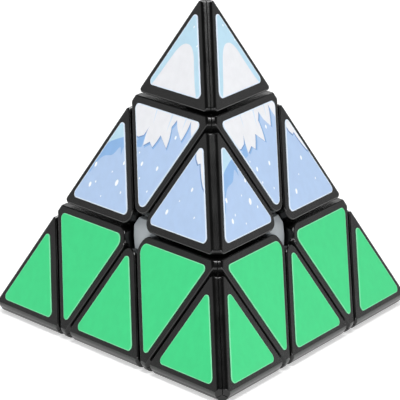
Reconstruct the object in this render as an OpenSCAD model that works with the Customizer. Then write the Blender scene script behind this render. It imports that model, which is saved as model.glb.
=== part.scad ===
// Pyramid twisty puzzle: a four-faced body of four turning layers and four turning tips.
// The origin is the centre of the body, where the four turning axes meet. Z is up through the top
// vertex, and the vertex called front points along -Y. The mechanism is concentric with the origin:
// ball, feet, flanges, then the outer pieces.

/* [Body] */
// Edge of the sharp tetrahedron that the four sticker faces lie in
edge_len = 105; // [96:1:114]
// How far each long edge is cut back from the sharp edge
ridge_cut = 1.9; // [1.2:0.1:2.4]
// How far each tip is cut back from the sharp vertex
vertex_cut = 5.4; // [4:0.1:7]
// Open gap between turning layers
layer_gap = 0.7; // [0.5:0.1:1.0]
// Distance from a face's centre to the corners that meet there
well_r = 4.1; // [3.6:0.1:4.6]

/* [Walls] */
// Wall behind a sticker and behind a ridge
face_wall = 2.0; // [1.6:0.1:2.4]
// Wall along the cuts between layers
side_wall = 1.3; // [1.0:0.1:1.6]
// Seam between the three panels of a tip or an axial piece
seam = 0.08; // [0.04:0.02:0.2]

/* [Stickers] */
// Sticker thickness
sticker_t = 0.2; // [0.1:0.05:0.3]
// Margins of a tip's sticker: to the body's edge, and to the cut below it
tip_margin = [3.85, 3.0]; // [1:0.05:5]
// Margins of an axial piece's sticker: to the cut of the tip, and to the cuts of the edge pieces
axial_margin = [1.92, 1.88]; // [1:0.05:5]
// Margins of an edge piece's sticker: to the body's edge, and to its two cuts
edge_margin = [3.76, 2.54]; // [1:0.05:5]
// Corner radius of the stickers
sticker_r = 1.1; // [0.8:0.1:1.6]
// Corner radius of an axial sticker next to the face's centre
inner_r = 1.9; // [1.2:0.1:2.2]

/* [Mechanism] */
// Depth of the outer pieces' round underside below the face planes
deck_depth = 1.8; // [1.75:0.05:1.9]
// Thickness of the feet, and of the flanges that hold them down
plate_t = 1.0; // [0.9:0.05:1.1]
// Sliding clearance between concentric parts
slide_gap = 0.15; // [0.12:0.01:0.2]
// Distance from the centre to the plane above which a layer's feet turn
foot_cut = 7.95; // [7.8:0.05:8.1]
// Distance from the centre to the plane above which a layer's necks turn
neck_cut = 10.22; // [10.1:0.02:10.3]
// Clearance below those planes
cut_gap = 0.28; // [0.24:0.02:0.32]
// Height, on each vertex axis, of the cuts that bound the caps on the ball
cap_edge = 9.2; // [8.6:0.1:9.9]
// Wall of the hollow core
core_wall = 2.6; // [2.2:0.1:3]

/* [Screws and springs] */
// Radius of a screw's thread
screw_r = 1.5; // [1.3:0.1:1.6]
// Radius of a screw's head
head_r = 2.8; // [2.5:0.1:3.0]
// Bore of a hub's centre tube
tube_bore_r = 3.6; // [3.5:0.1:3.8]
// Wall of that tube
tube_wall = 1.2; // [1.0:0.1:1.3]
// Radius of a spring's coil, to the middle of the wire
coil_r = 2.65; // [2.5:0.05:2.7]
// Radius of the spring wire
wire_r = 0.35; // [0.3:0.05:0.4]
// Number of turns of a spring
coil_turns = 5; // [4:1:6]

/* [Hidden] */
$fn = 96;
VERTICES = ["top", "front", "left", "right"];
FACES = ["left", "right", "back", "base"];
EDGES = ["top_front", "top_left", "top_right", "left_front", "front_right", "left_right"];
// The three side faces of each vertex, in the order of side_az below
SIDES = [[0, 1, 2], [1, 0, 3], [2, 3, 0], [3, 2, 1]];

NODES = concat(
    ["core_ball_upper", "core_ball_lower", "core_screws", "core_washers", "core_springs"],
    [for (v = VERTICES) each [str(v, "_axial_hub"), str(v, "_axial_stickers"), str(v, "_tip_base"),
        str(v, "_tip_panels"), str(v, "_tip_stickers")]],
    [for (v = [0:3], s = [0:2]) str(VERTICES[v], "_axial_panel_", FACES[SIDES[v][s]])],
    [for (e = EDGES) each [str("edge_", e, "_shell"), str("edge_", e, "_foot"),
        str("edge_", e, "_stickers")]]);
node = "all";

black = [0.13, 0.13, 0.13];
ball_grey = [0.78, 0.79, 0.8];
steel = [0.72, 0.72, 0.74];
sky_blue = [0.74, 0.83, 0.95];
green = [0.3, 0.84, 0.55];

// Distances from the centre: to a face, a vertex, the middle of an edge, and the two cuts
face_d = edge_len / sqrt(24);
vertex_d = 3 * face_d;
mid_d = edge_len / sqrt(8);
layer_d = face_d / 3;
tip_d = 5 * layer_d;
// Small triangle of a piece: its inscribed radius, and its centre's distance from the face's centre
cell_r = edge_len / (6 * sqrt(3));
piece_at = 2 * cell_r;
tip_at = 4 * cell_r;

plastic_d = face_d - sticker_t;
ridge_d = mid_d - ridge_cut;
axis_angle = acos(-1 / 3);
tilt = acos(1 / 3);

// Radii of the concentric parts, from the outside in
deck_r = face_d - deck_depth;
flange_top = deck_r - slide_gap;
flange_low = flange_top - plate_t;
foot_top = flange_low - slide_gap;
foot_low = foot_top - plate_t;
ball_r = foot_low - slide_gap;
core_in_r = ball_r - core_wall;

// Hub and its tube, along the axis of a vertex
flange_cone = axis_angle - acos((neck_cut - cut_gap) / flange_top);
base_cone = axis_angle - acos((foot_cut - cut_gap) / foot_top);
dome_r = deck_r + side_wall;
dome_cone = axis_angle - acos((layer_d - layer_gap / 2 - side_wall) / dome_r);
tube_r = tube_bore_r + tube_wall;
seat_z = dome_r + 0.4;
rim_z = tip_d - layer_gap / 2 - side_wall;
tip_floor_z = tip_d + layer_gap / 2;
tip_floor_t = 2.6;
lip_z = tip_floor_z + tip_floor_t + slide_gap;
lip_t = 1.1;
lip_r = tube_r + 0.7;
rim_r = 8;
rim_t = 1.5;
fit = 0.05;

// Core
split_z = 0.9;
cap_cut = 14.3;
boss_r = 3.6;
boss_low = 8;
ring_r = core_in_r + 0.12;
ring_up = 1.5;
ring_t = 1.2;
screw_low = 8.5;
spring_high = 29.4;
washer_t = 0.6;
head_t = 2.4;
slot_w = 0.9;
slot_depth = 1.2;

big = 2 * edge_len;
side_az = [210, 330, 90];
axis_az = [30, 150, 270];

// Unit vectors in the frame of a vertex, whose own axis is +Z
function flat(az) = [cos(az), sin(az), 0];
function side_face(az) = sin(tilt) * flat(az) + [0, 0, 1 / 3];
function other_axis(az) = sin(tilt) * flat(az) - [0, 0, 1 / 3];
function unit(v) = v / norm(v);
function ridge_dir(az) = unit(other_axis(az) + [0, 0, 1]);
function in_face(f, v) = unit(v - (v * f) * f);
up = [0, 0, 1];

// ---- frames and cutting shapes ----

// Puts +Z along n and +X along u
module along(n, u) {
    v = cross(n, u);
    multmatrix([[u.x, v.x, n.x, 0], [u.y, v.y, n.y, 0], [u.z, v.z, n.z, 0], [0, 0, 0, 1]])
        children();
}

// Block that fills the space n * p <= d
module below(n, d) {
    side = abs(n.z) < 0.9 ? up : [1, 0, 0];
    along(n, in_face(n, side))
        translate([-big / 2, -big / 2, d - big]) cube(big);
}

// Common space of a list of [direction, distance] pairs
module within(planes) {
    intersection_for (p = planes) below(p[0], p[1]);
}

// Solid cone about +Z with its point at the centre
module cone(half_angle) {
    cylinder(h = 2 * face_d, r1 = 0, r2 = 2 * face_d * tan(half_angle));
}

// Moves a vertex's own frame to vertex v of the body
module at_vertex(v) {
    if (v == 0) children();
    else rotate(180, ridge_dir([0, 270, 150, 30][v])) children();
}

// Moves the top-front edge piece to the place of edge e
module at_edge(e) {
    at_vertex([0, 0, 0, 1, 1, 2][e])
        rotate([0, -120, 120, 120, -120, 0][e]) children();
}

// ---- stickers ----

// Corner between two sides whose normals point along a and a + 120, at distances da and db
function corner_at(a, da, db) =
    (2 * (2 * da + db) * [cos(a), sin(a)] + 2 * (da + 2 * db) * [cos(a + 120), sin(a + 120)]) / 3;

function rounded_corner(p, a, r) =
    [for (t = [-60:10:60]) p - 2 * r * [cos(a), sin(a)] + r * [cos(a + t), sin(a + t)]];

// Rounded triangle with sides at 0, 120 and 240 degrees; r is the radius of each corner after a side
module sticker_shape(d, r) {
    polygon([for (k = [0:2]) each rounded_corner(
        corner_at(120 * k, d[k], d[(k + 1) % 3]), 120 * k + 60, r[k])]);
}

module sticker(f, u, at, turn, d, r) {
    along(f, u)
        translate([at, 0, plastic_d])
            rotate(turn) linear_extrude(sticker_t) sticker_shape(d, r);
}

module axial_sticker(az) {
    side = cell_r - axial_margin[1];
    sticker(side_face(az), in_face(side_face(az), up), piece_at, 0,
        [cell_r - axial_margin[0], side, side], [sticker_r, inner_r, sticker_r]);
}

module tip_sticker(az) {
    outer = cell_r - tip_margin[0];
    sticker(side_face(az), in_face(side_face(az), up), tip_at, 180,
        [cell_r - tip_margin[1], outer, outer], [sticker_r, sticker_r, sticker_r]);
}

module edge_sticker(az) {
    side = cell_r - edge_margin[1];
    sticker(side_face(az), in_face(side_face(az), ridge_dir(270)), piece_at, 0,
        [cell_r - edge_margin[0], side, side], [sticker_r, sticker_r, sticker_r]);
}

module axial_stickers(v) {
    color(v == 0 ? sky_blue : green)
        at_vertex(v) for (az = side_az) axial_sticker(az);
}

module tip_stickers(v) {
    color(v == 0 ? sky_blue : green)
        at_vertex(v) for (az = side_az) tip_sticker(az);
}

module edge_stickers(e) {
    color(e < 3 ? sky_blue : green)
        at_edge(e) for (az = [210, 330]) edge_sticker(az);
}

// ---- axial pieces ----

// Planes of an axial piece, moved in by the wall thicknesses face_in and side_in
function axial_planes(face_in, side_in) = concat(
    [for (az = side_az) [side_face(az), plastic_d - face_in]],
    [for (az = axis_az) [ridge_dir(az), ridge_d - face_in]],
    [for (az = axis_az) [other_axis(az), layer_d - layer_gap / 2 - side_in]],
    [for (az = side_az) [-in_face(side_face(az), up), -well_r - side_in]],
    [[-up, -layer_d - layer_gap / 2 - side_in], [up, tip_d - layer_gap / 2 - side_in]]);

// Third of a piece that belongs to the side face at az
function third(az) = [for (s = [-1, 1]) [flat(az + 150 * s), -seam / 2]];

module axial_panel(v, s) {
    az = side_az[s];
    color(black) at_vertex(v) difference() {
        within(concat(axial_planes(0, 0), third(az)));
        within(axial_planes(face_wall, side_wall));
        sphere(deck_r);
        cylinder(h = tip_d, r = tube_r + fit);
    }
}

// One turned part: round base on the ball, flange over the feet, seat, centre tube and snap lip
module axial_hub(v) {
    color(black) at_vertex(v) difference() {
        union() {
            intersection() {
                sphere(flange_low + plate_t / 2);
                cone(base_cone);
            }
            difference() {
                intersection() {
                    sphere(flange_top);
                    cone(flange_cone);
                }
                sphere(flange_low);
            }
            intersection() {
                sphere(dome_r);
                cone(dome_cone);
            }
            cylinder(h = lip_z + lip_t, r = tube_r);
            translate([0, 0, rim_z - rim_t]) cylinder(h = rim_t, r = rim_r);
            translate([0, 0, lip_z]) cylinder(h = lip_t, r1 = lip_r, r2 = tube_r + 0.1);
        }
        sphere(foot_low);
        translate([0, 0, seat_z]) cylinder(h = edge_len, r = tube_bore_r);
        cylinder(h = edge_len, r = screw_r + slide_gap);
    }
}

// ---- tips ----

function tip_planes(face_in) = concat(
    [for (az = side_az) [side_face(az), plastic_d - face_in]],
    [for (az = axis_az) [ridge_dir(az), ridge_d - face_in]],
    [[up, vertex_d - vertex_cut - face_in]]);

module tip_panels(v) {
    color(black) at_vertex(v)
        for (az = side_az)
            difference() {
                within(concat(tip_planes(0), third(az), [[-up, -tip_floor_z]]));
                within(tip_planes(face_wall));
            }
}

module tip_base(v) {
    color(black) at_vertex(v) difference() {
        within(concat(tip_planes(face_wall + fit),
            [[-up, -tip_floor_z], [up, tip_floor_z + tip_floor_t]]));
        cylinder(h = vertex_d, r = tube_r + slide_gap);
    }
}

// ---- edge pieces, drawn as the one between the top and the front vertex ----

function edge_planes(face_in, side_in) = concat(
    [for (az = [210, 330]) [side_face(az), plastic_d - face_in]],
    [for (az = [210, 330]) [-in_face(side_face(az), ridge_dir(270)), -well_r - side_in]],
    [for (n = [up, other_axis(270)]) [-n, -layer_d - layer_gap / 2 - side_in]],
    [[ridge_dir(270), ridge_d - face_in]]);

module edge_shell(e) {
    color(black) at_edge(e) difference() {
        within(edge_planes(0, 0));
        within(edge_planes(face_wall, side_wall));
        sphere(deck_r);
    }
}

// Slice of a ball above the cut planes of both layers that carry the piece
module lens(r, cut) {
    intersection() {
        sphere(r);
        within([for (n = [up, other_axis(270)]) [-n, -cut]]);
    }
}

module edge_foot(e) {
    color(black) at_edge(e) difference() {
        union() {
            lens(foot_top, foot_cut);
            lens(deck_r + side_wall / 2, neck_cut);
            difference() {
                intersection() {
                    sphere(dome_r);
                    within(edge_planes(face_wall + fit, side_wall + fit));
                }
                sphere(deck_r);
            }
        }
        sphere(foot_low);
    }
}

// ---- core ----

// Posts towards the face centres: a ball, less what lies above a cut plane of any layer or edge
module between_layers(r, cut) {
    difference() {
        sphere(r);
        all_axes() translate([-big / 2, -big / 2, cut]) cube(big);
        for (az = axis_az, side = [-1, 1]) below(side * ridge_dir(az), -cap_cut);
    }
}

// Ball with four raised caps, one under the centre of each face, on stems between the feet
module core() {
    difference() {
        union() {
            sphere(ball_r);
            between_layers(flange_low + plate_t / 2, foot_cut - cut_gap);
            difference() {
                between_layers(flange_top, cap_edge);
                sphere(flange_low);
            }
        }
        difference() {
            sphere(core_in_r);
            all_axes() translate([0, 0, boss_low]) cylinder(h = ball_r, r = boss_r);
        }
        all_axes() translate([0, 0, boss_low - 1]) cylinder(h = edge_len, r = screw_r + fit);
    }
}

module all_axes() {
    for (v = [0:3]) at_vertex(v) children();
}

module core_ball_upper() {
    color(ball_grey) difference() {
        core();
        translate([-big / 2, -big / 2, split_z - big]) cube(big);
        cylinder(h = split_z + ring_up + fit, r = ring_r + fit);
    }
}

module core_ball_lower() {
    color(ball_grey) {
        difference() {
            core();
            translate([-big / 2, -big / 2, split_z]) cube(big);
        }
        translate([0, 0, -split_z]) difference() {
            cylinder(h = 2 * split_z + ring_up, r = ring_r);
            translate([0, 0, -1]) cylinder(h = edge_len, r = ring_r - ring_t);
        }
    }
}

module core_screws() {
    color(steel) for (v = [0:3]) at_vertex(v) {
        translate([0, 0, screw_low]) cylinder(h = spring_high + washer_t - screw_low, r = screw_r);
        translate([0, 0, spring_high + washer_t]) difference() {
            cylinder(h = head_t, r = head_r);
            for (a = [0, 90])
                rotate(a) translate([-head_r * 0.7, -slot_w / 2, head_t - slot_depth])
                    cube([head_r * 1.4, slot_w, head_t]);
        }
    }
}

module core_washers() {
    color(steel) for (v = [0:3]) at_vertex(v)
        translate([0, 0, spring_high]) difference() {
            cylinder(h = washer_t, r = head_r + 0.4);
            translate([0, 0, -1]) cylinder(h = 3, r = screw_r + fit);
        }
}

// Coil spring swept along its helix, from the hub's seat up to the washer
module core_springs() {
    steps = 12 * coil_turns;
    low = seat_z + wire_r + fit;
    rise = (spring_high - wire_r - fit - low) / steps;
    sides = 6;
    points = [for (i = [0:steps], k = [0:sides - 1])
        let (a = 30 * i, b = 360 * k / sides, r = coil_r + wire_r * cos(b))
            [r * cos(a), r * sin(a), low + rise * i + wire_r * sin(b)]];
    skin = [for (i = [0:steps - 1], k = [0:sides - 1])
        let (a = sides * i + k, b = sides * i + (k + 1) % sides)
            [a, b, b + sides, a + sides]];
    ends = [[for (k = [sides - 1:-1:0]) k], [for (k = [0:sides - 1]) sides * steps + k]];
    color(steel) for (v = [0:3]) at_vertex(v) polyhedron(points, concat(skin, ends), convexity = 8);
}

// ---- the nodes ----

function wanted(name) = node == "all" || node == name;

if (wanted("core_ball_upper")) core_ball_upper();
if (wanted("core_ball_lower")) core_ball_lower();
if (wanted("core_screws")) core_screws();
if (wanted("core_washers")) core_washers();
if (wanted("core_springs")) core_springs();

for (v = [0:3]) {
    if (wanted(str(VERTICES[v], "_axial_hub"))) axial_hub(v);
    if (wanted(str(VERTICES[v], "_axial_stickers"))) axial_stickers(v);
    if (wanted(str(VERTICES[v], "_tip_base"))) tip_base(v);
    if (wanted(str(VERTICES[v], "_tip_panels"))) tip_panels(v);
    if (wanted(str(VERTICES[v], "_tip_stickers"))) tip_stickers(v);
    for (s = [0:2])
        if (wanted(str(VERTICES[v], "_axial_panel_", FACES[SIDES[v][s]]))) axial_panel(v, s);
}

for (e = [0:5]) {
    if (wanted(str("edge_", EDGES[e], "_shell"))) edge_shell(e);
    if (wanted(str("edge_", EDGES[e], "_foot"))) edge_foot(e);
    if (wanted(str("edge_", EDGES[e], "_stickers"))) edge_stickers(e);
}
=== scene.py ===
import math

import bmesh
import bpy
from mathutils import Matrix, Vector
from mathutils.geometry import delaunay_2d_cdt


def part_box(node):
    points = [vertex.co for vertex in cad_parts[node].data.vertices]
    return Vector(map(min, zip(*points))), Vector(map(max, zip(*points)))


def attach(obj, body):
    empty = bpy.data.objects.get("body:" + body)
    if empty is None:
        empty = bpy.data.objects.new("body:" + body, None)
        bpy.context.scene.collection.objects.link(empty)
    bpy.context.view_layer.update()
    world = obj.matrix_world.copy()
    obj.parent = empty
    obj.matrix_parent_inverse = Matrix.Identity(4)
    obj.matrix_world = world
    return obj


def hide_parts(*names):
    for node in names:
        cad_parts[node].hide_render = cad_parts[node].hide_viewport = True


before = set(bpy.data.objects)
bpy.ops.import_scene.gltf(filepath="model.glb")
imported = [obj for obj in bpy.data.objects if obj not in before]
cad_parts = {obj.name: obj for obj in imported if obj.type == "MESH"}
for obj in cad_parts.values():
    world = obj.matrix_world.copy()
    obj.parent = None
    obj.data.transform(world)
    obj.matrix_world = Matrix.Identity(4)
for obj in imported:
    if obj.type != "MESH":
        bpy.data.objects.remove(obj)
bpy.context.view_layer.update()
print("frame loaded:", len(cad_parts), "nodes")

# the body's own sizes, read off the frame: the base face is the lowest plane of the stickers
faceDistance = -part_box("front_axial_stickers")[0].z
plasticDistance = -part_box("front_axial_panel_base")[0].z
edgeLength = faceDistance * math.sqrt(24)
midDistance = edgeLength / math.sqrt(8)
layerDistance = faceDistance / 3
tipDistance = faceDistance * 5 / 3
vertexDistance = faceDistance * 3
cellRadius = edgeLength / (6 * math.sqrt(3))  # inscribed radius of one small triangle
pieceOffset = 2 * cellRadius  # from a face's centre to an axial or edge piece's triangle
tipOffset = 4 * cellRadius
mm = 0.001
up = Vector((0, 0, 1))

sideAngles = (210, 330, 90)
axisAngles = (30, 150, 270)
faceNames = ("left", "right", "back", "base")
vertexSides = {"top": (0, 1, 2), "front": (1, 0, 3), "left": (2, 3, 0), "right": (3, 2, 1)}


# directions in the frame of the top vertex

def flatDir(angle):
    return Vector((math.cos(math.radians(angle)), math.sin(math.radians(angle)), 0))


def sideDir(angle):
    return flatDir(angle) * math.sqrt(8) / 3 + up / 3


def axisDir(angle):
    return flatDir(angle) * math.sqrt(8) / 3 - up / 3


def ridgeDir(angle):
    return (axisDir(angle) + up).normalized()


def inFace(normal, towards):
    return (towards - normal * towards.dot(normal)).normalized()


def halfTurn(direction):
    return Matrix.Rotation(math.pi, 4, direction)


def turnZ(degrees):
    return Matrix.Rotation(math.radians(degrees), 4, "Z")


# turns that carry the top vertex's pieces to each vertex, and the top-front edge piece to each edge
vertexTurns = {
    "top": Matrix.Identity(4),
    "front": halfTurn(ridgeDir(270)),
    "left": halfTurn(ridgeDir(150)),
    "right": halfTurn(ridgeDir(30)),
}
edgeTurns = {
    "top_front": Matrix.Identity(4),
    "top_left": turnZ(-120),
    "top_right": turnZ(120),
    "left_front": vertexTurns["front"] @ turnZ(120),
    "front_right": vertexTurns["front"] @ turnZ(-120),
    "left_right": vertexTurns["left"],
}


# materials

def srgb(red, green, blue):
    def linear(value):
        value = value / 255
        return value / 12.92 if value <= 0.04045 else ((value + 0.055) / 1.055) ** 2.4
    return (linear(red), linear(green), linear(blue), 1)


def newMaterial(name):
    material = bpy.data.materials.new(name)
    material.use_nodes = True
    nodes = material.node_tree.nodes
    return material, nodes, material.node_tree.links, nodes["Principled BSDF"]


def noiseNode(nodes, links, scale, detail=3, rough=0.55):
    place = nodes.new("ShaderNodeTexCoord")
    noise = nodes.new("ShaderNodeTexNoise")
    noise.inputs["Scale"].default_value = scale
    noise.inputs["Detail"].default_value = detail
    noise.inputs["Roughness"].default_value = rough
    links.new(place.outputs["Object"], noise.inputs["Vector"])
    return noise


def rampNode(nodes, links, source, stops):
    ramp = nodes.new("ShaderNodeValToRGB")
    ramp.color_ramp.elements[0].position = stops[0][0]
    ramp.color_ramp.elements[0].color = stops[0][1]
    ramp.color_ramp.elements[1].position = stops[-1][0]
    ramp.color_ramp.elements[1].color = stops[-1][1]
    for position, colour in stops[1:-1]:
        ramp.color_ramp.elements.new(position).color = colour
    links.new(source, ramp.inputs["Fac"])
    return ramp


def grey(value):
    return (value, value, value, 1)


def shade(colour, factor):
    return tuple(min(1, c * factor) for c in colour[:3]) + (1,)


mouldedPlastic = {
    "colour": srgb(8, 8, 8),
    "roughness": (0.17, 0.25),
    "grainScale": 2600,
    "grainHeight": 0.012 * mm,
    "waveScale": 70,
    "waveHeight": 0.02 * mm,
}


def blackPlasticMaterial(name="blackPlastic", settings=mouldedPlastic):
    material, nodes, links, shader = newMaterial(name)
    cloud = noiseNode(nodes, links, 180)
    tint = rampNode(nodes, links, cloud.outputs["Fac"], [
        (0.3, shade(settings["colour"], 0.85)), (0.7, shade(settings["colour"], 1.2))])
    links.new(tint.outputs["Color"], shader.inputs["Base Color"])
    low, high = settings["roughness"]
    polish = rampNode(nodes, links, cloud.outputs["Fac"], [(0.3, grey(low)), (0.7, grey(high))])
    links.new(polish.outputs["Color"], shader.inputs["Roughness"])
    grain = noiseNode(nodes, links, settings["grainScale"], 2)
    wave = noiseNode(nodes, links, settings["waveScale"], 1)
    grainBump = nodes.new("ShaderNodeBump")
    grainBump.inputs["Distance"].default_value = settings["grainHeight"]
    waveBump = nodes.new("ShaderNodeBump")
    waveBump.inputs["Distance"].default_value = settings["waveHeight"]
    links.new(grain.outputs["Fac"], grainBump.inputs["Height"])
    links.new(wave.outputs["Fac"], waveBump.inputs["Height"])
    links.new(grainBump.outputs["Normal"], waveBump.inputs["Normal"])
    links.new(waveBump.outputs["Normal"], shader.inputs["Normal"])
    return material


ballPlastic = {
    "colour": srgb(166, 172, 176),
    "roughness": (0.32, 0.45),
    "rubScale": 260,
    "rubHeight": 0.01 * mm,
}


def ballMaterial(settings=ballPlastic):
    material, nodes, links, shader = newMaterial("greyCorePlastic")
    rub = noiseNode(nodes, links, settings["rubScale"], 4)
    tint = rampNode(nodes, links, rub.outputs["Fac"], [
        (0.3, shade(settings["colour"], 0.94)), (0.75, settings["colour"])])
    low, high = settings["roughness"]
    polish = rampNode(nodes, links, rub.outputs["Fac"], [(0.3, grey(high)), (0.7, grey(low))])
    bump = nodes.new("ShaderNodeBump")
    bump.inputs["Distance"].default_value = settings["rubHeight"]
    links.new(rub.outputs["Fac"], bump.inputs["Height"])
    links.new(tint.outputs["Color"], shader.inputs["Base Color"])
    links.new(polish.outputs["Color"], shader.inputs["Roughness"])
    links.new(bump.outputs["Normal"], shader.inputs["Normal"])
    return material


def steelMaterial():
    material, nodes, links, shader = newMaterial("springSteel")
    marks = noiseNode(nodes, links, 900, 3)
    tint = rampNode(nodes, links, marks.outputs["Fac"], [(0.3, grey(0.46)), (0.7, grey(0.62))])
    polish = rampNode(nodes, links, marks.outputs["Fac"], [(0.3, grey(0.22)), (0.7, grey(0.4))])
    links.new(tint.outputs["Color"], shader.inputs["Base Color"])
    links.new(polish.outputs["Color"], shader.inputs["Roughness"])
    shader.inputs["Metallic"].default_value = 1
    return material


printedFilm = {
    "mottleScale": 420,
    "mottle": 0.02,
    "grainHeight": 0.006 * mm,
    "roughness": 0.42,
    "shine": 0.3,
}


def inkMaterial(name, colour, settings=printedFilm):
    material, nodes, links, shader = newMaterial(name)
    mottle = noiseNode(nodes, links, settings["mottleScale"], 2)
    tint = rampNode(nodes, links, mottle.outputs["Fac"], [
        (0.35, shade(colour, 1 - settings["mottle"])), (0.65, shade(colour, 1 + settings["mottle"]))])
    links.new(tint.outputs["Color"], shader.inputs["Base Color"])
    shader.inputs["Roughness"].default_value = settings["roughness"]
    shader.inputs["Specular IOR Level"].default_value = settings["shine"]
    bump = nodes.new("ShaderNodeBump")
    bump.inputs["Distance"].default_value = settings["grainHeight"]
    links.new(mottle.outputs["Fac"], bump.inputs["Height"])
    links.new(bump.outputs["Normal"], shader.inputs["Normal"])
    return material


inkColours = {
    "rim": srgb(218, 230, 244),
    "sky": srgb(184, 217, 234),
    "snow": srgb(231, 232, 236),
    "streak": srgb(208, 224, 240),
    "slope": srgb(175, 199, 232),
    "band": srgb(138, 178, 224),
    "outline": srgb(112, 144, 192),
    "flake": srgb(246, 249, 254),
    "green": srgb(58, 210, 132),
    "greenRim": srgb(132, 226, 172),
}

blackPlastic = blackPlasticMaterial()
coreGrey = ballMaterial()
springSteel = steelMaterial()
inks = {name: inkMaterial("ink" + name[0].upper() + name[1:], colour)
        for name, colour in inkColours.items()}
print("materials ready")


# outer shells, cut from a block and rounded

shells = {
    "ridgeCut": 1.9 * mm,
    "vertexCut": 5.4 * mm,
    "gap": 0.7 * mm,
    "wellRadius": 4.1 * mm,
    "faceWall": 2.0 * mm,
    "sideWall": 1.3 * mm,
    "deckDepth": 1.8 * mm,
    "tubeRadius": 4.85 * mm,
    "seam": 0.08 * mm,
    "cornerSteps": 8,
    "rimSteps": 4,
    "deckSteps": 96,
}
rounding = {
    "well": 3.0 * mm,  # radius of the upright corners beside a face's centre
    "corner": 1.0 * mm,  # and of the upright corners at the ends of the ridges
    "tipCorner": 0.9 * mm,  # and of those round the foot of a tip
    "ridge": 1.3 * mm,  # where a ridge runs over into the faces
    "rim": 0.45 * mm,  # all round every face
    "seam": 0.12 * mm,
    "leastTurn": 32,  # flatter edges than this, in degrees, stay as they are
    "besideRidge": 60,  # a face turned less than this from a ridge lies beside it
    "besideCut": 80,  # and a well's side turned less than this from a cut
}


def fillCuts(mesh):
    rim = [edge for edge in mesh.edges if edge.is_boundary]
    if rim:
        bmesh.ops.contextual_create(mesh, geom=rim)


def cutBy(mesh, planes):
    for kind, normal, distance in planes:
        parts = mesh.verts[:] + mesh.edges[:] + mesh.faces[:]
        bmesh.ops.bisect_plane(mesh, geom=parts, plane_co=normal * distance, plane_no=normal,
                               clear_outer=True, dist=1e-7)
        fillCuts(mesh)
    bmesh.ops.recalc_face_normals(mesh, faces=mesh.faces[:])


def blockCut(planes):
    # a block cut down by (kind, normal, distance) planes, as a closed mesh
    mesh = bmesh.new()
    bmesh.ops.create_cube(mesh, size=2 * edgeLength)
    cutBy(mesh, planes)
    bmesh.ops.remove_doubles(mesh, verts=mesh.verts[:], dist=1e-6)
    return mesh


def arcPlanes(first, second, radius, steps=shells["cornerSteps"], kind="arc"):
    # planes that round off the corner between two planes
    a, b = first[1], second[1]
    turn = a.angle(b)
    lean = a.dot(b)
    reachA, reachB = first[2] - radius, second[2] - radius
    centre = (a * (reachA - reachB * lean) + b * (reachB - reachA * lean)) / (1 - lean * lean)
    planes = []
    for step in range(1, steps):
        part = turn * step / steps
        normal = (a * math.sin(turn - part) + b * math.sin(part)) / math.sin(turn)
        planes.append((kind, normal, normal.dot(centre) + radius))
    return planes


def ridgeArcs(faces, ridges):
    return [arc for ridge in ridges for face in faces
            if ridge[1].angle(face[1]) < math.radians(rounding["besideRidge"])
            for arc in arcPlanes(face, ridge, rounding["ridge"], kind="ridge")]


def planeOf(face):
    return ("rim", face.normal.copy(), face.normal.dot(face.calc_center_median()))


def roundRims(mesh, planes, radius, steps):
    # rounds every sharp edge of the faces that lie in the given planes
    least = math.radians(rounding["leastTurn"])
    normals = [normal for kind, normal, distance in planes]
    rims = []
    for edge in mesh.edges:
        if len(edge.link_faces) == 2 and edge.calc_face_angle() > least:
            if any((face.normal - n).length < 1e-3 for face in edge.link_faces for n in normals):
                rims += arcPlanes(*[planeOf(face) for face in edge.link_faces], radius, steps)
    cutBy(mesh, rims)


def roundedBlock(name, planes, arcs, seams=()):
    mesh = blockCut(planes + arcs)
    outer = [plane for plane in planes + arcs if plane[0] in ("face", "ridge")]
    roundRims(mesh, outer, rounding["rim"], shells["rimSteps"])
    if seams:
        cutBy(mesh, seams)
        roundRims(mesh, seams, rounding["seam"], 2)
    bmesh.ops.remove_doubles(mesh, verts=mesh.verts[:], dist=2e-3 * mm)
    return meshObject(name, mesh)


def meshObject(name, mesh):
    data = bpy.data.meshes.new(name)
    mesh.to_mesh(data)
    mesh.free()
    piece = bpy.data.objects.new(name, data)
    bpy.context.scene.collection.objects.link(piece)
    return piece


def ballCutter(radius, steps):
    mesh = bmesh.new()
    bmesh.ops.create_uvsphere(mesh, u_segments=steps, v_segments=steps // 2, radius=radius)
    return meshObject("ballCutter", mesh)


def tubeCutter(radius, steps=64):
    mesh = bmesh.new()
    bmesh.ops.create_cone(mesh, cap_ends=True, segments=steps, radius1=radius, radius2=radius,
                          depth=2 * tipDistance)
    return meshObject("tubeCutter", mesh)


def carve(piece, cutters):
    for cutter in cutters:
        cut = piece.modifiers.new("carve", "BOOLEAN")
        cut.operation = "DIFFERENCE"
        cut.solver = "EXACT"
        cut.object = cutter
    bpy.context.view_layer.update()
    ready = piece.evaluated_get(bpy.context.evaluated_depsgraph_get())
    data = bpy.data.meshes.new_from_object(ready)
    piece.modifiers.clear()
    piece.data = data
    for cutter in cutters:
        bpy.data.objects.remove(cutter)
    return data


def axialPlanes(faceIn=0.0, sideIn=0.0):
    gap = shells["gap"] / 2
    planes = [("face", sideDir(a), plasticDistance - faceIn) for a in sideAngles]
    planes += [("ridge", ridgeDir(a), midDistance - shells["ridgeCut"] - faceIn) for a in axisAngles]
    planes += [("cut", axisDir(a), layerDistance - gap - sideIn) for a in axisAngles]
    planes += [("well", -inFace(sideDir(a), up), -shells["wellRadius"] - sideIn) for a in sideAngles]
    return planes + [("cut", up, tipDistance - gap - sideIn),
                     ("cut", -up, -layerDistance - gap - sideIn)]


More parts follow.
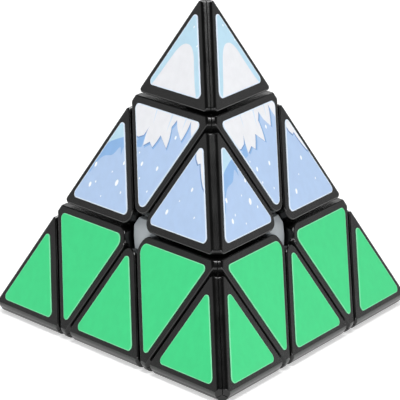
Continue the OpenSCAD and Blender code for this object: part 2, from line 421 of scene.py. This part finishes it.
def axialArcs():
    planes = axialPlanes()
    ridges, cuts, wells, top = planes[3:6], planes[6:9], planes[9:12], planes[12]
    arcs = ridgeArcs(planes[:3], ridges)
    for ridge, cut in zip(ridges, cuts):
        arcs += arcPlanes(ridge, cut, rounding["corner"]) + arcPlanes(ridge, top, rounding["corner"])
        for well in wells:
            if cut[1].angle(well[1]) < math.radians(rounding["besideCut"]):
                arcs += arcPlanes(cut, well, rounding["well"])
    return arcs


def tipPlanes(faceIn=0.0, floorIn=0.0):
    planes = [("face", sideDir(a), plasticDistance - faceIn) for a in sideAngles]
    planes += [("ridge", ridgeDir(a), midDistance - shells["ridgeCut"] - faceIn) for a in axisAngles]
    planes += [("ridge", up, vertexDistance - shells["vertexCut"] - faceIn)]
    return planes + [("cut", -up, -tipDistance - shells["gap"] / 2 - floorIn)]


def tipArcs():
    planes = tipPlanes()
    arcs = ridgeArcs(planes[:3], planes[3:6])
    for ridge in planes[3:6]:
        arcs += arcPlanes(ridge, planes[7], rounding["tipCorner"])
    return arcs


def edgePlanes(faceIn=0.0, sideIn=0.0):
    gap = shells["gap"] / 2
    towards = ridgeDir(270)
    planes = [("face", sideDir(a), plasticDistance - faceIn) for a in (210, 330)]
    planes += [("well", -inFace(sideDir(a), towards), -shells["wellRadius"] - sideIn)
               for a in (210, 330)]
    planes += [("cut", -n, -layerDistance - gap - sideIn) for n in (up, axisDir(270))]
    return planes + [("ridge", towards, midDistance - shells["ridgeCut"] - faceIn)]


def edgeArcs():
    planes = edgePlanes()
    arcs = ridgeArcs(planes[:2], planes[6:])
    for cut in planes[4:6]:
        arcs += arcPlanes(planes[6], cut, rounding["corner"])
        for well in planes[2:4]:
            arcs += arcPlanes(cut, well, rounding["well"])
    return arcs


def thirdPlanes(angle):
    return [("seam", flatDir(angle + 150 * s), -shells["seam"] / 2) for s in (-1, 1)]


def makeAxialPanel():
    panel = roundedBlock("axialPanelPattern", axialPlanes(), axialArcs(), thirdPlanes(sideAngles[0]))
    hollow = meshObject("hollow", blockCut(axialPlanes(shells["faceWall"], shells["sideWall"])))
    deck = ballCutter(faceDistance - shells["deckDepth"], shells["deckSteps"])
    return carve(panel, [hollow, deck, tubeCutter(shells["tubeRadius"])])


def makeTipPanel():
    panel = roundedBlock("tipPanelPattern", tipPlanes(), tipArcs(), thirdPlanes(sideAngles[0]))
    hollow = meshObject("hollow", blockCut(tipPlanes(shells["faceWall"], -5 * mm)))
    return carve(panel, [hollow])


def makeEdgeShell():
    shell = roundedBlock("edgeShellPattern", edgePlanes(), edgeArcs())
    hollow = meshObject("hollow", blockCut(edgePlanes(shells["faceWall"], shells["sideWall"])))
    deck = ballCutter(faceDistance - shells["deckDepth"], shells["deckSteps"])
    return carve(shell, [hollow, deck])


def finishPiece(piece, material, body, node):
    piece.data.materials.clear()
    piece.data.materials.append(material)
    smoothPiece(piece)
    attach(piece, body)
    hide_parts(node)


def smoothPiece(piece, angle=40):
    piece.data.shade_smooth()
    piece.data.set_sharp_from_angle(angle=math.radians(angle))
    flatten = piece.modifiers.new("flatFaces", "WEIGHTED_NORMAL")
    flatten.keep_sharp = True
    flatten.weight = 100


def placedCopies(name, pattern, turns):
    # one object holding a copy of the pattern at each of the turns
    mesh = bmesh.new()
    for turn in turns:
        data = pattern.copy()
        data.transform(turn)
        mesh.from_mesh(data)
        bpy.data.meshes.remove(data)
    return meshObject(name, mesh)


def camel(*words):
    parts = "_".join(words).split("_")
    return parts[0] + "".join(part.capitalize() for part in parts[1:])


def sideTurn(index):
    return turnZ(sideAngles[index] - sideAngles[0])


axialPattern = makeAxialPanel()
tipPattern = makeTipPanel()
edgePattern = makeEdgeShell()
for vertex, turn in vertexTurns.items():
    for index, side in enumerate(vertexSides[vertex]):
        node = f"{vertex}_axial_panel_{faceNames[side]}"
        panel = placedCopies(camel(node), axialPattern, [turn @ sideTurn(index)])
        finishPiece(panel, blackPlastic, "axial_" + vertex, node)
    node = f"{vertex}_tip_panels"
    panels = placedCopies(camel(node), tipPattern, [turn @ sideTurn(index) for index in range(3)])
    finishPiece(panels, blackPlastic, "tip_" + vertex, node)
for edge, turn in edgeTurns.items():
    node = f"edge_{edge}_shell"
    shell = placedCopies(camel(node), edgePattern, [turn])
    finishPiece(shell, blackPlastic, "edge_" + edge, node)
for pattern in ("axialPanelPattern", "tipPanelPattern", "edgeShellPattern"):
    bpy.data.objects.remove(bpy.data.objects[pattern])
print("shells built")


# the printed picture, in hundredths of the edge length from a face's centre

picture = {
    "peak": [(-9.4, 31.4), (-7.2, 34.6), (-5.2, 37.8), (-3.0, 41.0), (-0.9, 42.5), (1.6, 42.4),
             (3.6, 40.6), (5.4, 37.4), (7.4, 34.0), (9.6, 31.0)],
    "teeth": [(-8.4, 19.9), (-6.6, 20.6), (-5.4, 22.9), (-5.7, 18.4), (-3.6, 19.6), (-2.1, 18.6),
              (-0.2, 21.7), (3.2, 19.3), (3.0, 24.2), (4.3, 26.0), (5.6, 23.9), (7.9, 21.9),
              (9.6, 26.6), (11.4, 23.2), (13.6, 22.4)],
    "snowStart": (-16, 20.4),
    "shadeWedge": [(-10.6, 21.0), (-8.4, 19.0), (-5.4, 22.6), (-6.2, 17.9), (-9.2, 17.4)],
    "slopeLine": [(-26.5, 7.6), (-24.4, 10.2), (-22.0, 13.6), (-19.4, 16.4), (-16.6, 17.8),
                  (-13.6, 18.9), (-11.4, 19.6)],
    "bandLine": [(-26.0, 7.4), (-23.4, 8.8), (-21.6, 11.6), (-19.4, 13.4), (-16.4, 14.2),
                 (-14.2, 16.4), (-13.2, 14.8), (-12.8, 16.6), (-11.0, 17.4)],
    "streaks": [[(-4.6, 29.5), (-3.9, 29.6), (-4.2, 23.4)], [(1.9, 28.4), (2.7, 28.2), (1.6, 22.6)],
                [(7.4, 27.8), (8.0, 27.6), (7.2, 24.0)]],
    "farSnow": [(14.4, 21.6), (15.4, 19.2), (16.6, 18.2), (17.4, 18.6), (18.8, 16.2), (20.6, 13.9),
                (22.6, 12.6)],
}
flakes = {  # place, size and tilt of each falling flake
    "axial": [(-4.2, 14.4, 0.55, 20), (2.0, 14.5, 0.55, 15), (-3.6, 11.2, 0.3, 25),
              (5.6, 22.2, 0.45, 10), (0.6, 9.0, 0.28, 20), (-6.3, 16.6, 0.24, 15)],
    "edgeLeft": [(-21.7, 11.0, 0.6, 15), (-21.8, 6.3, 0.62, 20), (-11.7, 8.6, 0.78, 20),
                 (-19.9, 7.3, 0.3, 25), (-9.2, 6.8, 0.34, 10), (-11.0, 13.3, 0.5, 15),
                 (-16.4, 4.6, 0.24, 20), (-14.6, 10.6, 0.24, 15)],
    "edgeRight": [(17.0, 12.6, 0.5, 15), (10.1, 6.2, 0.62, 20), (20.6, 7.0, 0.28, 20),
                  (13.6, 9.4, 0.24, 25)],
    "tip": [(0.8, 46.6, 0.3, 15), (-3.4, 44.4, 0.24, 20), (3.9, 42.7, 0.26, 20),
            (-6.8, 38.6, 0.22, 15)],
}
pictureStyle = {
    "shadowShift": (0.55, -0.5),
    "borderShift": (0.2, -0.22),
    "farShift": (-0.2, -0.35),
    "rim": 0.25 * mm,
    "greenRim": 0.17 * mm,
    "curveSteps": 6,
    "flakeSides": 14,
    "flakeFlat": 0.72,
    "weld": 1e-5,
}
stickerShape = {
    "cornerRadius": 1.1 * mm,
    "innerRadius": 1.9 * mm,
    "cornerSteps": 8,
    "edgeSoft": 0.06 * mm,
    "tip": (3.0 * mm, 3.85 * mm, 3.85 * mm),
    "axial": (1.92 * mm, 1.88 * mm, 1.88 * mm),
    "edge": (3.76 * mm, 2.54 * mm, 2.54 * mm),
}


def smoothLine(points, steps=pictureStyle["curveSteps"]):
    # a curve through the points
    line = []
    for index in range(len(points) - 1):
        before = Vector(points[max(index - 1, 0)])
        start, end = Vector(points[index]), Vector(points[index + 1])
        after = Vector(points[min(index + 2, len(points) - 1)])
        for step in range(steps):
            t = step / steps
            line.append(0.5 * (2 * start + (end - before) * t
                               + (2 * before - 5 * start + 4 * end - after) * t * t
                               + (3 * start - before - 3 * end + after) * t ** 3))
    return line + [Vector(points[-1])]


def toothedLine(points, steps=pictureStyle["curveSteps"]):
    # straight-ish flanks with a slight belly, sharp at every point of the list
    line = []
    for start, end in zip(points, points[1:]):
        start, end = Vector(start), Vector(end)
        belly = (start + end) / 2 + Vector((0.12 * (end.y - start.y), 0.05 * abs(end.y - start.y)))
        for step in range(steps):
            t = step / steps
            line.append(start * (1 - t) ** 2 + belly * 2 * t * (1 - t) + end * t * t)
    return line + [Vector(points[-1])]


def shifted(line, shift):
    return [point + Vector(shift) for point in line]


def flakeShape(x, y, size, tilt):
    turn = math.radians(tilt)
    points = []
    for step in range(pictureStyle["flakeSides"]):
        angle = 2 * math.pi * step / pictureStyle["flakeSides"]
        across = size * pictureStyle["flakeFlat"] * math.cos(angle)
        along = size * math.sin(angle)
        points.append(Vector((x + across * math.cos(turn) - along * math.sin(-turn),
                              y + across * math.sin(-turn) + along * math.cos(turn))))
    return points


def above(line, height=60):
    return line + [Vector((line[-1].x, height)), Vector((line[0].x, height))]


def axialPaint():
    snowLine = toothedLine(picture["teeth"])
    left = [Vector(picture["snowStart"])]
    shadow = above(left + shifted(snowLine, pictureStyle["shadowShift"]))
    border = above(left + shifted(snowLine, pictureStyle["borderShift"]))
    streaks = [("streak", [Vector(p) for p in streak]) for streak in picture["streaks"]]
    return [("band", shadow), ("band", [Vector(p) for p in picture["shadeWedge"]]),
            ("outline", border), ("snow", above(left + snowLine))] + streaks


def edgeLeftPaint():
    slope = smoothLine(picture["slopeLine"])
    band = smoothLine(picture["bandLine"])
    return [("sky", above(slope)), ("band", slope + band[::-1])]


def edgeRightPaint():
    snowLine = toothedLine(picture["farSnow"])
    return [("outline", above(shifted(snowLine, pictureStyle["farShift"]))), ("snow", above(snowLine))]


def tipPaint():
    return [("snow", smoothLine(picture["peak"]))]


paintOf = {"axial": ("slope", axialPaint), "edgeLeft": ("slope", edgeLeftPaint),
           "edgeRight": ("slope", edgeRightPaint), "tip": ("sky", tipPaint)}


def cornerPoint(angle, first, second):
    a = flatDir(angle).to_2d()
    b = flatDir(angle + 120).to_2d()
    return (2 * (2 * first + second) * a + 2 * (first + 2 * second) * b) / 3


def roundedTriangle(distances, radii, inset=0.0):
    points = []
    for k in range(3):
        corner = cornerPoint(120 * k, distances[k] - inset, distances[(k + 1) % 3] - inset)
        middle = 120 * k + 60
        radius = max(radii[k] - inset, 0.1 * mm)
        centre = corner - 2 * radius * flatDir(middle).to_2d()
        for step in range(stickerShape["cornerSteps"] + 1):
            turn = middle - 60 + 120 * step / stickerShape["cornerSteps"]
            points.append(centre + radius * flatDir(turn).to_2d())
    return points


def inside(point, outline):
    hit = False
    for a, b in zip(outline, outline[1:] + outline[:1]):
        if (a.y > point.y) != (b.y > point.y):
            if point.x < (b.x - a.x) * (point.y - a.y) / (b.y - a.y) + a.x:
                hit = not hit
    return hit


def paintedTriangles(outline, rim, regions, base, rimInk):
    # splits the flat outline along the border of every region and names the ink of each triangle
    points, lines = [], []
    for ring in [outline, rim] + [region for ink, region in regions]:
        start = len(points)
        points += [point / mm for point in ring]
        lines += [(start + i, start + (i + 1) % len(ring)) for i in range(len(ring))]
    filled = delaunay_2d_cdt(points, lines, [], 0, pictureStyle["weld"])
    corners, triangles = [corner * mm for corner in filled[0]], filled[2]
    painted = []
    for triangle in triangles:
        middle = sum((corners[i] for i in triangle), Vector((0, 0))) / len(triangle)
        if not inside(middle, outline):
            continue
        ink = base if inside(middle, rim) else rimInk
        for name, region in regions:
            if ink != rimInk and inside(middle, region):
                ink = name
        painted.append((triangle, ink))
    return corners, painted


def stickerOutline(kind, inset=0.0):
    # the side facing the piece's own vertex or edge comes first
    sides = [cellRadius - margin for margin in stickerShape[kind]]
    corner = stickerShape["cornerRadius"]
    radii = (corner, stickerShape["innerRadius"] if kind == "axial" else corner, corner)
    points = roundedTriangle(sides, radii, inset)
    return [-point for point in points] if kind == "tip" else points


def regionsOf(paint):
    if not paint:
        return "green", []
    base, makeRegions = paintOf[paint]
    scale = edgeLength / 100
    regions = [(ink, [point * scale for point in ring]) for ink, ring in makeRegions()]
    return base, regions + [("flake", [point * scale for point in flakeShape(*flake)])
                            for flake in flakes[paint]]


def addSticker(mesh, kind, normal, towards):
    # towards lies in the face and points from its centre to the piece
    facing = inFace(normal, up) if normal.z > -0.9 else inFace(normal, flatDir(90))
    across = facing.cross(normal)
    aside = normal.cross(towards)
    axes = [Vector((axis.dot(across), axis.dot(facing))) for axis in (towards, aside)]
    offset = axes[0] * (tipOffset if kind == "tip" else pieceOffset)
    paint = None
    if normal.z > -0.9 and offset.y > mm:
        sideName = "Left" if offset.x < 0 else "Right"
        paint = kind + sideName if kind == "edge" else kind
    rimInk = "rim" if paint else "greenRim"
    rimWidth = pictureStyle[rimInk]

    def onFace(inset):
        return [offset + axes[0] * p.x + axes[1] * p.y for p in stickerOutline(kind, inset)]

    def lift(point, depth):
        return mesh.verts.new(across * point.x + facing * point.y + normal * depth)

    def skin(corners, ink):
        mesh.faces.new(corners).material_index = inkNames.index(ink)

    soft = stickerShape["edgeSoft"]
    outer, shoulder = onFace(0), onFace(soft)
    low = [lift(p, plasticDistance) for p in outer]
    middle = [lift(p, faceDistance - soft) for p in outer]
    high = [lift(p, faceDistance) for p in shoulder]
    skin(low[::-1], rimInk)
    for i in range(len(outer)):
        j = (i + 1) % len(outer)
        skin([low[i], low[j], middle[j], middle[i]], rimInk)
        skin([middle[i], middle[j], high[j], high[i]], rimInk)
    base, regions = regionsOf(paint)
    corners, painted = paintedTriangles(shoulder, onFace(rimWidth), regions, base, rimInk)
    used = {i for triangle, ink in painted for i in triangle}
    lifted = {i: lift(corners[i], faceDistance) for i in used}
    for triangle, ink in painted:
        skin([lifted[i] for i in triangle], ink)


def makeStickers(node, kind, body, turn, towards, angles):
    mesh = bmesh.new()
    rotation = turn.to_3x3()
    for angle in angles:
        normal = sideDir(angle)
        addSticker(mesh, kind, (rotation @ normal).normalized(),
                   (rotation @ inFace(normal, towards)).normalized())
    bmesh.ops.remove_doubles(mesh, verts=mesh.verts[:], dist=1e-3 * mm)
    bmesh.ops.recalc_face_normals(mesh, faces=mesh.faces[:])
    piece = meshObject(camel(node), mesh)
    for name in inkNames:
        piece.data.materials.append(inks[name])
    piece.data.shade_smooth()
    piece.data.set_sharp_from_angle(angle=math.radians(25))
    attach(piece, body)
    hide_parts(node)


inkNames = list(inkColours)
for vertex, turn in vertexTurns.items():
    for kind in ("axial", "tip"):
        makeStickers(f"{vertex}_{kind}_stickers", kind, f"{kind}_{vertex}", turn, up,
                     sideAngles)
for edge, turn in edgeTurns.items():
    makeStickers(f"edge_{edge}_stickers", "edge", f"edge_{edge}", turn, ridgeDir(270),
                 sideAngles[:2])
print("stickers built")


# the parts kept from the frame

for name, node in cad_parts.items():
    if node.hide_render:
        continue
    if name.startswith("core_ball"):
        material = coreGrey
    elif name in ("core_screws", "core_washers", "core_springs"):
        material = springSteel
    else:
        material = blackPlastic
    node.data.materials.clear()
    node.data.materials.append(material)
print("inner parts finished")


# floor, light and camera

studio = {
    "floorSize": 3.0,
    "floorColour": srgb(225, 225, 225),
    "floorGlow": 0.67,
    "sky": [(0.0, 0.6), (0.5, 0.55), (0.53, 0.42), (0.59, 0.42), (0.63, 0.7), (0.72, 0.05),
            (1.0, 0.02)],
    "lamps": {
        "overhead": {"power": 8.2, "place": (0.0, -0.25, 1.1), "size": 0.5},
        "frontLeft": {"power": 4.5, "place": (-0.6, -1.05, 0.32), "size": 0.34},
        "frontRight": {"power": 4.5, "place": (0.65, -1.0, 0.3), "size": 0.34},
        "back": {"power": 5, "place": (0.15, 0.95, 0.75), "size": 0.5},
    },
}


def makeFloor():
    mesh = bmesh.new()
    bmesh.ops.create_grid(mesh, x_segments=1, y_segments=1, size=studio["floorSize"] / 2)
    floor = meshObject("floor", mesh)
    floor.location = (0, 0, -faceDistance - 0.05 * mm)
    material, nodes, links, shader = newMaterial("paleFloor")
    cloud = noiseNode(nodes, links, 2, 1)
    tint = rampNode(nodes, links, cloud.outputs["Fac"], [
        (0.3, shade(studio["floorColour"], 0.99)), (0.7, studio["floorColour"])])
    links.new(tint.outputs["Color"], shader.inputs["Base Color"])
    shader.inputs["Roughness"].default_value = 0.9
    shader.inputs["Specular IOR Level"].default_value = 0.1
    shader.inputs["Emission Color"].default_value = studio["floorColour"]
    shader.inputs["Emission Strength"].default_value = studio["floorGlow"]
    floor.data.materials.append(material)


def makeSky():
    world = bpy.data.worlds.new("studioSky")
    bpy.context.scene.world = world
    world.use_nodes = True
    nodes, links = world.node_tree.nodes, world.node_tree.links
    place = nodes.new("ShaderNodeTexCoord")
    split = nodes.new("ShaderNodeSeparateXYZ")
    links.new(place.outputs["Generated"], split.inputs["Vector"])
    height = nodes.new("ShaderNodeMapRange")
    height.inputs["From Min"].default_value = -1
    links.new(split.outputs["Z"], height.inputs["Value"])
    ramp = rampNode(nodes, links, height.outputs["Result"],
                    [(position, grey(value)) for position, value in studio["sky"]])
    links.new(ramp.outputs["Color"], nodes["Background"].inputs["Color"])


def makeLamp(name, power, place, size):
    lamp = bpy.data.lights.new(name, "AREA")
    lamp.energy = power
    lamp.shape = "DISK"
    lamp.size = size
    holder = bpy.data.objects.new(name, lamp)
    holder.location = place
    holder.rotation_euler = (-Vector(place)).to_track_quat("-Z", "Y").to_euler()
    bpy.context.scene.collection.objects.link(holder)


viewpoint = {
    "around": -3.153,
    "height": 13.418,
    "roll": -0.341,
    "target": (-1.68 * mm, 0, 11.62 * mm),
    "distance": 0.9067,
    "lens": 349.3,
    "sensor": 36,
    "nearest": 0.01,
    "farthest": 20,
}


def makeCamera():
    around, height = math.radians(viewpoint["around"]), math.radians(viewpoint["height"])
    back = Vector((math.sin(around) * math.cos(height), -math.cos(around) * math.cos(height),
                   math.sin(height)))
    right = (-back).cross(up).normalized()
    top = right.cross(-back)
    roll = math.radians(viewpoint["roll"])
    x = right * math.cos(roll) + top * math.sin(roll)
    y = top * math.cos(roll) - right * math.sin(roll)
    place = Matrix((x, y, back)).transposed().to_4x4()
    place.translation = Vector(viewpoint["target"]) + back * viewpoint["distance"]
    data = bpy.data.cameras.new("camera")
    data.sensor_width = viewpoint["sensor"]
    data.lens = viewpoint["lens"]
    data.clip_start = viewpoint["nearest"]
    data.clip_end = viewpoint["farthest"]
    camera = bpy.data.objects.new("camera", data)
    camera.matrix_world = place
    bpy.context.scene.collection.objects.link(camera)
    bpy.context.scene.camera = camera


makeFloor()
makeSky()
for name, lamp in studio["lamps"].items():
    makeLamp(name, **lamp)
makeCamera()
bpy.context.scene.view_settings.view_transform = "Standard"
print("studio ready")
